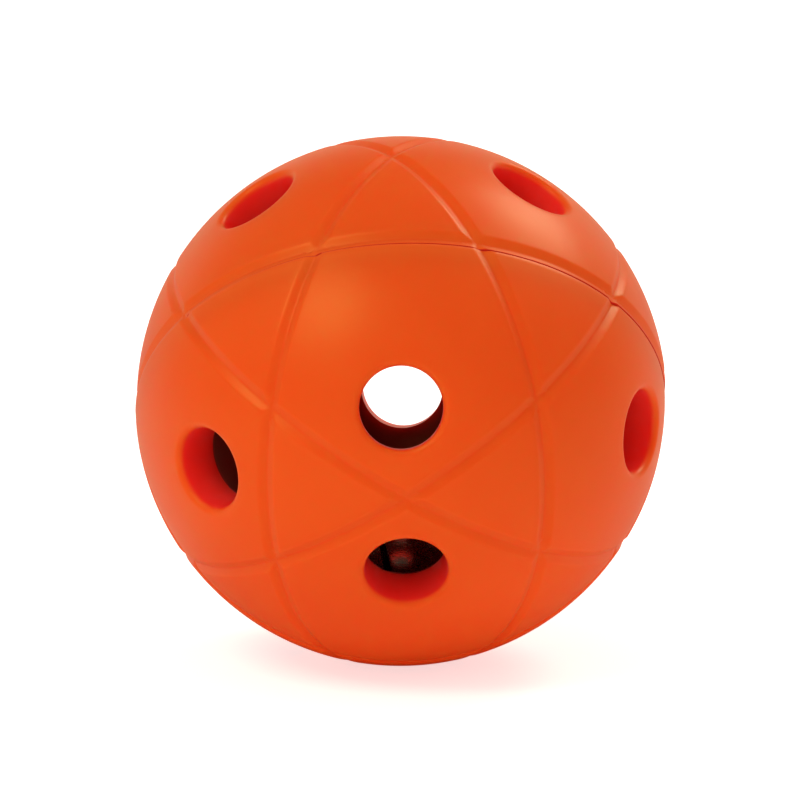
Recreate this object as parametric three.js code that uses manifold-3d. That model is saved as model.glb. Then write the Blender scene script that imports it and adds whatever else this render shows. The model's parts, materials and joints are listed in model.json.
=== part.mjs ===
// A bell ball: a thick-walled hollow ball with twelve round holes and six moulded grooves.
// Two jingle bells, too large to leave through the holes, lie loose side by side inside it.
// Millimetres, +Z up, origin at the ball's centre. The viewer stands on the -Y side, with +X to the right.

import * as THREE from 'three';
import { mergeVertices } from 'three/addons/utils/BufferGeometryUtils.js';
import Module from 'manifold-3d';

// Ball
const BALL_DIAMETER = 160;
const WALL = 14; // the depth of every hole
const HOLE_DIAMETER = 25;
const HOLE_RIM_RADIUS = 1.9; // rounding of each hole's outer edge
const GROOVE_WIDTH = 5.2; // across the top
const GROOVE_FLOOR = 0.8; // across the bottom
const GROOVE_DEPTH = 0.75;
const MIDDLE_GROOVE_RISE = 1.4; // the middle groove's centre lies this far above the ball's
const SEAM_BELOW_GROOVE = 2.1; // from the middle groove's centre to the seam
const SEAM_GAP = 0.2; // between the two half shells' flat faces

// Bells
const BELL_DIAMETER = 34; // of the dome
const BELL_SHEET = 0.8; // thickness of the pressed sheet
const BELT_HEIGHT = 2.4; // the crown's lip, rolled over the skirt's edge
const BELT_PROUD = 1.1; // how far the lip stands out of the dome
const BELT_EDGE = 0.5; // height of the lip's sloping upper edge
const SLOT_WIDTH_MIDDLE = 3.2; // where the two slots cross
const SLOT_WIDTH_END = 2.0;
const SLOT_END_ANGLE = 74; // from the bell's mouth, in degrees
const LOOP_WIDTH = 8; // over the wire
const LOOP_HEIGHT = 4.4; // above the dome
const WIRE_DIAMETER = 1.6;
const WIRE_BEND = 1.6; // radius of the bend between each leg and its foot
const FOOT_LENGTH = 2.4; // of each end of the wire, bent out under the crown
const PELLET_DIAMETER = 8;

// Fits
const REST_CLEARANCE = 0.3; // between a piece and what it rests on
const RUNNING_CLEARANCE = 0.25; // between sheet edges, and round the wire
const FACET_ALLOWANCE = 0.4; // what the flat facets of a dome take from its inside
const CUT_MARGIN = 1; // how far a cut reaches past the faces that it opens

// The moulding as it lies: turns about X, then Y, then the pole of its upper half, in degrees
const MOULDING_TURN = [-48.6, -2.0, 35.6];

// Each hole's angle from the upper pole and its angle round it, in degrees
const UPPER_HOLES = {
  upper_left: [63.5, -162.7],
  upper_right: [63.2, -90.7],
  back: [49.7, 51.5],
  opposite_bottom: [12.8, 51.7],
  opposite_left: [56.1, -10.5],
  opposite_right: [69.6, 130.0],
};
const LOWER_HOLES = {
  front: [128.1, -126.8],
  bottom: [167.2, -128.3],
  left: [123.9, 169.5],
  right: [110.4, -50.0],
  opposite_upper_left: [116.5, 17.3],
  opposite_upper_right: [116.8, 89.3],
};

// Five of the six grooves lean round the pole like the corners of an icosahedron
const LEANING_GROOVES = 5;
const GROOVE_LEAN = THREE.MathUtils.radToDeg(Math.atan(2));
const GROOVE_START = -89.9;
const UPPER_TWIST = -0.6; // the upper half's leaning grooves stop this far short of the lower half's

// The bells as they lie: how far each leans its loop towards the other, and its turn about its own axis
const BELL_LEAN = 52;
const BELL_TURN = 19;

// What follows from those sizes
const BALL_RADIUS = BALL_DIAMETER / 2;
const CAVITY_RADIUS = BALL_RADIUS - WALL;
const HOLE_RADIUS = HOLE_DIAMETER / 2;
const BELL_RADIUS = BELL_DIAMETER / 2;
const BELL_INSIDE = BELL_RADIUS - BELL_SHEET;
const WIRE_RADIUS = WIRE_DIAMETER / 2;
const LEG_OFFSET = LOOP_WIDTH / 2 - WIRE_RADIUS; // from the bell's axis to each leg of the loop
const PELLET_RADIUS = PELLET_DIAMETER / 2;
const BELL_REACH = CAVITY_RADIUS - BELL_RADIUS - REST_CLEARANCE; // bell's centre from the ball's
const BELL_OFFSET = BELL_RADIUS + REST_CLEARANCE; // each bell keeps to its own side of the middle plane
const BELL_DROP = Math.sqrt(BELL_REACH ** 2 - BELL_OFFSET ** 2);

// Mesh fineness
const BALL_DETAIL = 7;
const CAVITY_DETAIL = 7;
const GROOVE_STEPS = 40;
const HOLE_STEPS = 24;
const FILLET_STEPS = 2;
const BELL_STEPS = 20;
const DOME_STEPS = 6;
const WIRE_HOLE_STEPS = 12;
const BEND_STEPS = 2;
const ARCH_STEPS = 6;
const WIRE_STEPS = 26;
const WIRE_SIDES_PER_HALF = 4;
const PELLET_DETAIL = 2;
const MERGE_DISTANCE = 1e-4;

const wasm = await Module();
wasm.setup();

const radians = THREE.MathUtils.degToRad;
const degrees = THREE.MathUtils.radToDeg;

// A closed geometry as a solid that can be cut and joined
function solid(geometry) {
  const bare = geometry.clone();
  bare.deleteAttribute('normal');
  bare.deleteAttribute('uv');
  const merged = mergeVertices(bare, MERGE_DISTANCE);
  return new wasm.Manifold(new wasm.Mesh({
    numProp: 3,
    vertProperties: new Float32Array(merged.attributes.position.array),
    triVerts: new Uint32Array(merged.index.array),
  }));
}

// A solid as a geometry
function geometryOf(body) {
  const mesh = body.getMesh();
  const geometry = new THREE.BufferGeometry();
  geometry.setAttribute('position', new THREE.BufferAttribute(mesh.vertProperties, 3));
  geometry.setIndex(new THREE.BufferAttribute(mesh.triVerts, 1));
  geometry.computeVertexNormals();
  return geometry;
}

// A profile of [radius, height] points turned about +Z; the points run from the bottom of the outside upwards
function turned(profile, steps) {
  const lathe = new THREE.LatheGeometry(profile.map(([r, h]) => new THREE.Vector2(r, h)), steps);
  return lathe.rotateX(Math.PI / 2);
}

function piece(name, geometry, material) {
  const mesh = new THREE.Mesh(geometry, material);
  mesh.name = name;
  return mesh;
}

// Points of an arc in [radius, height], by angles in degrees from the radius direction
function arc(centreR, centreH, radius, from, to, steps) {
  const points = [];
  for (let i = 0; i <= steps; i++) {
    const angle = radians(from + (to - from) * i / steps);
    points.push([centreR + radius * Math.cos(angle), centreH + radius * Math.sin(angle)]);
  }
  return points;
}

// The direction at an angle from +Z and an angle round it
function direction([polar, round]) {
  return new THREE.Vector3().setFromSphericalCoords(1, radians(polar), radians(round + 90))
    .applyAxisAngle(new THREE.Vector3(1, 0, 0), Math.PI / 2);
}

// A geometry built along +Z, laid along a direction instead
function along(geometry, towards) {
  const turn = new THREE.Quaternion().setFromUnitVectors(new THREE.Vector3(0, 0, 1), towards);
  return geometry.applyQuaternion(turn);
}

// An icosahedron-based sphere with one of its twelve corners on the pole, so that its edges follow the grooves
function ball(radius, detail) {
  const goldenRatio = (1 + Math.sqrt(5)) / 2;
  return new THREE.IcosahedronGeometry(radius, detail).rotateX(Math.atan(1 / goldenRatio));
}

// What one hole takes away: a bore with a rounded outer edge
function holeCutter() {
  const filletR = HOLE_RADIUS + HOLE_RIM_RADIUS;
  const filletH = Math.sqrt((BALL_RADIUS - HOLE_RIM_RADIUS) ** 2 - filletR ** 2);
  const surfaceAngle = degrees(Math.atan2(filletH, filletR));
  const edge = arc(filletR, filletH, HOLE_RIM_RADIUS, 180, surfaceAngle, FILLET_STEPS);
  const [rimR, rimH] = edge.at(-1);
  const outside = BALL_RADIUS + CUT_MARGIN;
  const inside = Math.sqrt(CAVITY_RADIUS ** 2 - HOLE_RADIUS ** 2) - CUT_MARGIN;
  return turned([
    [0, inside], [HOLE_RADIUS, inside], ...edge, [rimR * outside / rimH, outside], [0, outside],
  ], HOLE_STEPS);
}

// What one groove takes away: a ring round +Z, wide at the top and narrow at its floor
function grooveCutter() {
  const top = BALL_RADIUS + CUT_MARGIN;
  const floor = BALL_RADIUS - GROOVE_DEPTH;
  const halfFloor = GROOVE_FLOOR / 2;
  const slope = (GROOVE_WIDTH - GROOVE_FLOOR) / 2 / GROOVE_DEPTH;
  const halfTop = halfFloor + (top - floor) * slope;
  return turned([[floor, -halfFloor], [top, -halfTop], [top, halfTop], [floor, halfFloor], [floor, -halfFloor]],
    GROOVE_STEPS);
}

// What all six grooves of one half take away: one across the pole and five leaning ones
function grooveCutters(side) {
  const start = GROOVE_START + (side > 0 ? UPPER_TWIST : 0);
  const cutters = [grooveCutter().translate(0, 0, MIDDLE_GROOVE_RISE)];
  for (let i = 0; i < LEANING_GROOVES; i++) {
    cutters.push(along(grooveCutter(), direction([GROOVE_LEAN, start + i * 360 / LEANING_GROOVES])));
  }
  return cutters;
}

// One half of the ball: side is 1 for the upper half and -1 for the lower
function halfShell(side, holes) {
  let body = solid(ball(BALL_RADIUS, BALL_DETAIL)).subtract(solid(ball(CAVITY_RADIUS, CAVITY_DETAIL)));
  const seam = MIDDLE_GROOVE_RISE - SEAM_BELOW_GROOVE;
  const size = BALL_DIAMETER + 2 * Math.abs(seam) + CUT_MARGIN;
  const half = new THREE.BoxGeometry(size, size, size).translate(0, 0, side * (size + SEAM_GAP) / 2 + seam);
  body = body.intersect(solid(half));
  for (const cutter of grooveCutters(side)) body = body.subtract(solid(cutter));
  for (const place of Object.values(holes)) body = body.subtract(solid(along(holeCutter(), direction(place))));
  return geometryOf(body);
}

// The bell's upper half, with the lip that is rolled over the skirt and two holes for the loop's wire
function bellCrown() {
  const lipInside = BELL_RADIUS + RUNNING_CLEARANCE;
  const lipOutside = BELL_RADIUS + BELT_PROUD;
  const lipTop = BELT_HEIGHT / 2;
  const start = degrees(Math.asin(lipTop / BELL_RADIUS));
  const bottom = RUNNING_CLEARANCE;
  const outside = arc(0, 0, BELL_RADIUS, start, 90, DOME_STEPS);
  const inside = arc(0, 0, BELL_INSIDE, 90, degrees(Math.asin(bottom / BELL_INSIDE)), DOME_STEPS);
  outside.at(-1)[0] = 0;
  inside[0][0] = 0;
  let body = solid(turned([
    [lipInside, bottom], [lipInside, -lipTop], [lipOutside, -lipTop], [lipOutside, lipTop - BELT_EDGE],
    ...outside, ...inside, [lipInside, bottom],
  ], BELL_STEPS));
  const holeRadius = WIRE_RADIUS + RUNNING_CLEARANCE;
  for (const side of [-1, 1]) {
    const hole = new THREE.CylinderGeometry(holeRadius, holeRadius, BELL_RADIUS, WIRE_HOLE_STEPS);
    hole.rotateX(Math.PI / 2).translate(side * LEG_OFFSET, 0, BELL_RADIUS);
    body = body.subtract(solid(hole));
  }
  return geometryOf(body);
}

// The bell's lower half, a plain dome with two slots that cross at its mouth
function bellSkirt() {
  const outside = arc(0, 0, BELL_RADIUS, -90, 0, DOME_STEPS);
  const inside = arc(0, 0, BELL_INSIDE, 0, -90, DOME_STEPS);
  outside[0][0] = 0;
  inside.at(-1)[0] = 0;
  let body = solid(turned([...outside, ...inside], BELL_STEPS));
  const endWidth = SLOT_WIDTH_END / 2;
  const middleWidth = SLOT_WIDTH_MIDDLE / 2;
  const outline = new THREE.Shape([
    new THREE.Vector2(BELL_RADIUS, -endWidth),
    new THREE.Vector2(BELL_RADIUS, endWidth),
    new THREE.Vector2(0, middleWidth),
    new THREE.Vector2(-BELL_RADIUS, endWidth),
    new THREE.Vector2(-BELL_RADIUS, -endWidth),
    new THREE.Vector2(0, -middleWidth),
  ]);
  const bottom = -BELL_RADIUS - CUT_MARGIN;
  const depth = -BELL_RADIUS * Math.cos(radians(SLOT_END_ANGLE)) - bottom;
  for (const turn of [0, 90]) {
    const slot = new THREE.ExtrudeGeometry(outline, { depth, bevelEnabled: false, steps: 1 });
    body = body.subtract(solid(slot.translate(0, 0, bottom).rotateZ(radians(turn))));
  }
  return geometryOf(body);
}

// The wire loop: a half circle on two legs that pass through the crown and are bent out under it
function bellLoop() {
  const archHeight = BELL_RADIUS + LOOP_HEIGHT - WIRE_RADIUS - LEG_OFFSET;
  const footReach = LEG_OFFSET + FOOT_LENGTH;
  const footHeight = Math.sqrt(BELL_INSIDE ** 2 - footReach ** 2) - WIRE_RADIUS - FACET_ALLOWANCE - REST_CLEARANCE;
  const rightSide = [
    ...arc(0, archHeight, LEG_OFFSET, 90, 0, ARCH_STEPS / 2),
    ...arc(LEG_OFFSET + WIRE_BEND, footHeight + WIRE_BEND, WIRE_BEND, 180, 270, BEND_STEPS),
    [footReach, footHeight],
  ];
  const leftSide = rightSide.slice(1).reverse().map(([x, z]) => [-x, z]);
  const points = [...leftSide, ...rightSide].map(([x, z]) => new THREE.Vector3(x, 0, z));
  const path = new THREE.CatmullRomCurve3(points, false, 'centripetal');
  const section = new THREE.Shape();
  section.absarc(0, 0, WIRE_RADIUS, 0, 2 * Math.PI, false);
  return new THREE.ExtrudeGeometry(section, {
    steps: WIRE_STEPS, curveSegments: WIRE_SIDES_PER_HALF, extrudePath: path, bevelEnabled: false,
  });
}

const vinyl = new THREE.MeshStandardMaterial({ color: 0xe8521f, roughness: 0.42, metalness: 0 });
const nickel = new THREE.MeshStandardMaterial({ color: 0x9a928c, roughness: 0.3, metalness: 1 });
const wire = new THREE.MeshStandardMaterial({ color: 0x8d8680, roughness: 0.35, metalness: 1 });
const steel = new THREE.MeshStandardMaterial({ color: 0x77736f, roughness: 0.25, metalness: 1 });

// One bell with its loose pellet: side is -1 for the front bell and 1 for the back one
function bell(name, side) {
  const whole = new THREE.Group();
  whole.position.set(0, side * BELL_OFFSET, -BELL_DROP);
  const shell = new THREE.Group();
  shell.rotation.set(radians(side * BELL_LEAN), 0, radians(side * BELL_TURN));
  shell.add(piece(`${name}_crown`, bellCrown(), nickel));
  shell.add(piece(`${name}_skirt`, bellSkirt(), nickel));
  shell.add(piece(`${name}_loop`, bellLoop(), wire));
  const pellet = piece(`${name}_pellet`, new THREE.IcosahedronGeometry(PELLET_RADIUS, PELLET_DETAIL), steel);
  pellet.position.z = -(BELL_INSIDE - PELLET_RADIUS - REST_CLEARANCE);
  whole.add(shell, pellet);
  return whole;
}

const moulding = new THREE.Group();
moulding.rotation.set(...MOULDING_TURN.map(radians));
moulding.add(piece('upper_shell', halfShell(1, UPPER_HOLES), vinyl));
moulding.add(piece('lower_shell', halfShell(-1, LOWER_HOLES), vinyl));

const group = new THREE.Group();
group.add(moulding, bell('front_bell', -1), bell('back_bell', 1));

export default group;
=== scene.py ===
"""A bell ball: a thick-walled ball of soft orange vinyl with round holes, and two loose jingle bells inside.

The ball is moulded in two halves that meet at a fine seam, low in one of its six grooves. Twelve holes go
through the wall. The bells are too large for the holes, and lie side by side at the bottom. Sizes are in
millimetres and meshes in metres, +Z up, with the ball's centre at the origin and the viewer at -Y.
"""

import json
import logging
import math
from dataclasses import dataclass, field
from enum import Enum

import bmesh
import bpy
import numpy as np
from mathutils import Matrix, Vector
from mathutils.geometry import delaunay_2d_cdt
from mathutils.kdtree import KDTree

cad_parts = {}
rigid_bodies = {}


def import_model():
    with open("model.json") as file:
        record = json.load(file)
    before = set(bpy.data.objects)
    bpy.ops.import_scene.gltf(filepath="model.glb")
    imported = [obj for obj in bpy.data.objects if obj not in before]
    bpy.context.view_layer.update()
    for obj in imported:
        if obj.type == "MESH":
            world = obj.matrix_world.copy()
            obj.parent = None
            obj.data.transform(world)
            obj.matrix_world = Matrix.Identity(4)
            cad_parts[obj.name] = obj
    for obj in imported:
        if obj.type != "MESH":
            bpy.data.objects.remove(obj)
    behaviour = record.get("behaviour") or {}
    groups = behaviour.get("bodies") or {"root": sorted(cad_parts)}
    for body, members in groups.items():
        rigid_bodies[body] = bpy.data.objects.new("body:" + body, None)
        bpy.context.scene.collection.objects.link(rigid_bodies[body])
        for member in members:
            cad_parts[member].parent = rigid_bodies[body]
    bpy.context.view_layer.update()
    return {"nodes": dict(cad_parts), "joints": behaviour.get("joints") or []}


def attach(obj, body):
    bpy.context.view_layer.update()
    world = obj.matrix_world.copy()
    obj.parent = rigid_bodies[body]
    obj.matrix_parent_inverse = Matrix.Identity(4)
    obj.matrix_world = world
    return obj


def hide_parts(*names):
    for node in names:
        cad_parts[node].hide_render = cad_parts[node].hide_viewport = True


LOG = logging.getLogger("bell_ball")
MM = 0.001
ROW_SPACING = 0.866  # between rows of evenly spread points, as a share of the points' spacing
BURR_SPREAD = (4.0, -1.8)  # a factor and a shift that let noise tear a hole's lip both ways


class Half(Enum):
    """A half of the ball; the value is its side of the seam along the moulding's pole."""

    UPPER = 1
    LOWER = -1


class Berth(Enum):
    """Where a bell lies; the value is its side of the ball's middle plane along Y."""

    FRONT = -1
    BACK = 1


class Slot(Enum):
    """The record's material slots."""

    VINYL = "orange_vinyl"
    PLATE = "nickel_plate"
    WIRE = "loop_wire"
    PELLET = "pellet_steel"


def linear(colour: str) -> tuple[float, float, float, float]:
    """Turns an sRGB hex colour into the linear one that a shader takes.

    Args:
        colour: Six hex digits after a hash sign.

    Returns:
        Red, green and blue in linear light, and an alpha of 1.
    """
    channels = [int(colour[i:i + 2], 16) / 255 for i in (1, 3, 5)]
    bright = [c / 12.92 if c <= 0.04045 else ((c + 0.055) / 1.055) ** 2.4 for c in channels]
    return (*bright, 1.0)


def per_metre(size: float) -> float:
    """Gives the texture scale at which one feature is so many millimetres across on Object coordinates."""
    return 1 / (size * MM)


def add(
    tree: bpy.types.NodeTree, kind: str, inputs: dict | None = None, **settings: object,
) -> bpy.types.Node:
    """Adds one node to a tree, with its settings, values and links.

    Args:
        tree: The tree that gets the node.
        kind: The node's type name.
        inputs: A value or an output socket for each input, by the input's name or number.
        settings: The node's own properties.

    Returns:
        The new node.
    """
    node = tree.nodes.new(kind)
    for name, value in settings.items():
        setattr(node, name, value)
    for key, value in (inputs or {}).items():
        if isinstance(value, bpy.types.NodeSocket):
            tree.links.new(value, node.inputs[key])
        else:
            node.inputs[key].default_value = value
    return node


def clean_material(name: str) -> tuple[bpy.types.Material, bpy.types.NodeTree]:
    """Makes an empty node material.

    Args:
        name: The finish's name.

    Returns:
        The material and its node tree.
    """
    material = bpy.data.materials.new(name)
    material.use_nodes = True
    material.node_tree.nodes.clear()
    return material, material.node_tree


@dataclass(frozen=True)
class SoftVinyl:
    """Plasticised PVC, cast in a heated mould: satin, a little waxy, with the faint ripple of the mould.

    Light that enters the wall is scattered a short way, so edges glow redder than the flat of the wall.
    Light that is passed from wall to wall inside the bores loses its green and turns a darker red; that glow
    is painted into the bores' colour. The ball's inside is painted darker, as painted shade, and the seam's
    thin
    line is painted darker red still: partly the weld's own line, partly painted shade in its notch. How far
    into the wall a point lies follows from its distance to the ball's middle, or for the skin to the middle
    of its own half.

    Sizes are millimetres. The pole and the offset are given in the frame that the ball lies in.
    """

    pole: Vector
    seam: float
    upper_offset: Vector
    colour: str = "#EF581C"
    pale: str = "#F2601F"
    # painted glow: the red that light takes when it is passed from wall to wall in the bores, painted into
    # their colour
    painted_bore_glow: str = "#FF3832"
    # the seam's thin line: partly the weld's own darker line, partly painted shade in the notch between the
    # halves
    seam_weld_and_shade: str = "#D8281C"
    # painted shade: the ball's inside is given a darker colour, standing in for the shade in it
    inside: str = "#9C3630"
    lining_end: float = 66.1  # just behind the lining's face
    inside_blend: float = 0.3
    skin_radius: float = 79.0
    skin_blend: float = 1.6
    seam_line: float = 0.14  # half the dark line's width
    seam_blend: float = 0.25
    seam_quiet: float = 6.0  # from this far off the seam, light is scattered in full
    ior: float = 1.53
    gloss: float = 0.34
    gloss_tint: str = "#FFE67A"
    roughness: float = 0.38
    roughness_spread: float = 0.05
    cloud_size: float = 24.0
    ripple_size: float = 5.0
    grain_size: float = 0.5  # the real grain is finer; this is as fine as shows
    ripple_height: float = 0.012
    grain_height: float = 0.004
    scatter: float = 0.85
    scatter_reach: tuple[float, float, float] = (1.0, 0.04, 0.025)
    scatter_scale: float = 15.0

    def build(self) -> bpy.types.Material:
        """Makes the finish as a node material.

        Returns:
            The material.
        """
        material, tree = clean_material("moulded_soft_vinyl")
        place = add(tree, "ShaderNodeTexCoord").outputs["Object"]
        cloud = add(tree, "ShaderNodeTexNoise", {
            "Vector": place, "Scale": per_metre(self.cloud_size), "Detail": 2.0}).outputs[0]
        along = add(tree, "ShaderNodeVectorMath", {0: place, 1: self.pole}, operation="DOT_PRODUCT")
        over_seam = add(tree, "ShaderNodeMath", {
            0: along.outputs["Value"], 1: self.seam * MM}, operation="SUBTRACT").outputs[0]
        from_seam = add(tree, "ShaderNodeMath", {0: over_seam}, operation="ABSOLUTE").outputs[0]
        upper = add(tree, "ShaderNodeMath", {0: over_seam, 1: 0.0}, operation="GREATER_THAN")
        aside = add(tree, "ShaderNodeVectorMath", {
            0: self.upper_offset * MM, "Scale": upper.outputs[0]}, operation="SCALE")
        centred = add(tree, "ShaderNodeVectorMath", {0: place, 1: aside.outputs[0]}, operation="SUBTRACT")
        from_own = add(tree, "ShaderNodeVectorMath", {0: centred.outputs[0]}, operation="LENGTH")
        from_middle = add(tree, "ShaderNodeVectorMath", {0: place}, operation="LENGTH")
        shares = {}
        for name, distance, start, end in (
            ("skin", from_own.outputs["Value"], self.skin_radius - self.skin_blend, self.skin_radius),
            ("wall", from_middle.outputs["Value"], self.lining_end, self.lining_end + self.inside_blend),
            ("off_seam", from_seam, self.seam_line, self.seam_line + self.seam_blend),
        ):
            shares[name] = add(tree, "ShaderNodeMapRange", {
                "Value": distance, "From Min": start * MM, "From Max": end * MM}).outputs["Result"]
        # bore: the painted shade of the ball's inside, then the painted red glow of the bores; skin: the
        # clouded orange with the seam's line, partly painted shade
        tones = {n: linear(getattr(self, n)) for n in ("colour", "pale", "painted_bore_glow", "seam_weld_and_shade", "inside")}
        for name, share, under, over in (
            ("clouded", cloud, "colour", "pale"), ("bore", shares["wall"], "inside", "painted_bore_glow"),
            ("skin", shares["off_seam"], "seam_weld_and_shade", "clouded"), ("all", shares["skin"], "bore", "skin"),
        ):
            tones[name] = add(tree, "ShaderNodeMix", {
                "Factor": share, "A": tones[under], "B": tones[over]}, data_type="RGBA").outputs["Result"]
        scatter = add(tree, "ShaderNodeMapRange", {
            "Value": from_seam, "From Min": self.seam_line * MM, "From Max": self.seam_quiet * MM,
            "To Max": self.scatter})
        rough = add(tree, "ShaderNodeMapRange", {
            "Value": cloud, "To Min": self.roughness - self.roughness_spread,
            "To Max": self.roughness + self.roughness_spread})
        relief: dict[str, bpy.types.NodeSocket] = {}
        for size, detail, height in (
            (self.ripple_size, 1.0, self.ripple_height), (self.grain_size, 2.0, self.grain_height),
        ):
            noise = add(tree, "ShaderNodeTexNoise", {
                "Vector": place, "Scale": per_metre(size), "Detail": detail})
            bump = add(tree, "ShaderNodeBump", {
                "Height": noise.outputs[0], "Distance": height * MM, "Strength": 1.0, **relief})
            relief = {"Normal": bump.outputs["Normal"]}
        surface = add(tree, "ShaderNodeBsdfPrincipled", {
            "Base Color": tones["all"], "Roughness": rough.outputs["Result"], "IOR": self.ior,
            "Specular IOR Level": self.gloss, "Specular Tint": linear(self.gloss_tint),
            "Subsurface Weight": scatter.outputs["Result"], "Subsurface Radius": self.scatter_reach,
            "Subsurface Scale": self.scatter_scale * MM, **relief})
        add(tree, "ShaderNodeOutputMaterial", {"Surface": surface.outputs["BSDF"]})
        return material


@dataclass(frozen=True)
class PlatedSheet:
    """Nickel-plated steel sheet, pressed and tumbled: a dull mirror with fine scuffs and tarnished clouds."""

    colour: str = "#B4ABA5"
    tarnish: str = "#8B827C"
    roughness: float = 0.24
    scuffed_roughness: float = 0.36
    cloud_size: float = 6.0
    cloud_edge: tuple[float, float] = (0.42, 0.68)  # noise at which the tarnish starts and is full
    scuff_edge: tuple[float, float] = (0.45, 0.75)
    scuff_length: float = 4.0
    scuff_width: float = 0.25
    scuff_depth: float = 0.003

    def build(self, name: str = "tumbled_nickel_plate") -> bpy.types.Material:
        """Makes the finish as a node material.

        Args:
            name: The material's name.

        Returns:
            The material.
        """
        material, tree = clean_material(name)
        place = add(tree, "ShaderNodeTexCoord").outputs["Object"]
        cloud = add(tree, "ShaderNodeTexNoise", {
            "Vector": place, "Scale": per_metre(self.cloud_size), "Detail": 4.0, "Roughness": 0.6})
        patches = add(tree, "ShaderNodeMapRange", {
            "Value": cloud.outputs[0], "From Min": self.cloud_edge[0], "From Max": self.cloud_edge[1]})
        colour = add(tree, "ShaderNodeMix", {
            "Factor": patches.outputs["Result"], "A": linear(self.colour), "B": linear(self.tarnish)},
            data_type="RGBA")
        drawn_out = add(tree, "ShaderNodeMapping", {
            "Vector": place, "Scale": (self.scuff_width / self.scuff_length, 1.0, 1.0)})
        scuffs = add(tree, "ShaderNodeTexNoise", {
            "Vector": drawn_out.outputs["Vector"], "Scale": per_metre(self.scuff_width), "Detail": 3.0})
        gloss = add(tree, "ShaderNodeMapRange", {
            "Value": scuffs.outputs[0], "From Min": self.scuff_edge[0], "From Max": self.scuff_edge[1],
            "To Min": self.roughness, "To Max": self.scuffed_roughness})
        scored = add(tree, "ShaderNodeBump", {
            "Height": scuffs.outputs[0], "Distance": self.scuff_depth * MM, "Strength": 1.0})
        surface = add(tree, "ShaderNodeBsdfPrincipled", {
            "Base Color": colour.outputs["Result"], "Roughness": gloss.outputs["Result"], "Metallic": 1.0,
            "Normal": scored.outputs["Normal"]})
        add(tree, "ShaderNodeOutputMaterial", {"Surface": surface.outputs["BSDF"]})
        return material


@dataclass(frozen=True)
class PaperSweep:
    """Matt white paper on a lit table: white to the camera, with only the ball's shadow on it.

    Reflections show it a little warm, and darker near the ball, where the ball keeps the light off it.
    Lift is what the camera sees added, and glow is the table's light on the ball's underside. Distances are
    millimetres from the point under the ball.
    """

    colour: str = "#F4F4F2"
    lift: float = 0.62
    glow: float = 0.24
    glow_colour: str = "#FFDDE6"
    lift_colour: str = "#FFFFFF"
    near_reflection: str = "#4A423A"
    far_reflection: str = "#E2DAD4"
    near: float = 30.0
    far: float = 120.0

    def build(self) -> bpy.types.Material:
        """Makes the finish as a node material.

        Returns:
            The material.
        """
        material, tree = clean_material("white_paper")
        seen = add(tree, "ShaderNodeLightPath").outputs
        place = add(tree, "ShaderNodeTexCoord").outputs["Object"]
        flat = add(tree, "ShaderNodeVectorMath", {0: place, 1: (1.0, 1.0, 0.0)}, operation="MULTIPLY")
        away = add(tree, "ShaderNodeVectorMath", {0: flat.outputs["Vector"]}, operation="LENGTH")
        farness = add(tree, "ShaderNodeMapRange", {
            "Value": away.outputs["Value"], "From Min": self.near * MM, "From Max": self.far * MM})
        names = ("colour", "glow_colour", "lift_colour", "near_reflection", "far_reflection")
        tones = {name: linear(getattr(self, name)) for name in names}
        for name, share, under, over in (
            ("mirrored", farness.outputs["Result"], "near_reflection", "far_reflection"),
            ("paper", seen["Is Glossy Ray"], "colour", "mirrored"),
            ("light", seen["Is Diffuse Ray"], "lift_colour", "glow_colour"),
        ):
            tones[name] = add(tree, "ShaderNodeMix", {
                "Factor": share, "A": tones[under], "B": tones[over]}, data_type="RGBA").outputs["Result"]
        paper = add(tree, "ShaderNodeBsdfDiffuse", {"Color": tones["paper"]})
        to_camera = add(tree, "ShaderNodeMath", {
            0: seen["Is Camera Ray"], 1: self.lift}, operation="MULTIPLY")
        strength = add(tree, "ShaderNodeMath", {
            0: seen["Is Diffuse Ray"], 1: self.glow, 2: to_camera.outputs[0]}, operation="MULTIPLY_ADD")
        glow = add(tree, "ShaderNodeEmission", {"Color": tones["light"], "Strength": strength.outputs[0]})
        both = add(tree, "ShaderNodeAddShader", {0: paper.outputs[0], 1: glow.outputs[0]})
        add(tree, "ShaderNodeOutputMaterial", {"Surface": both.outputs[0]})
        return material


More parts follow.
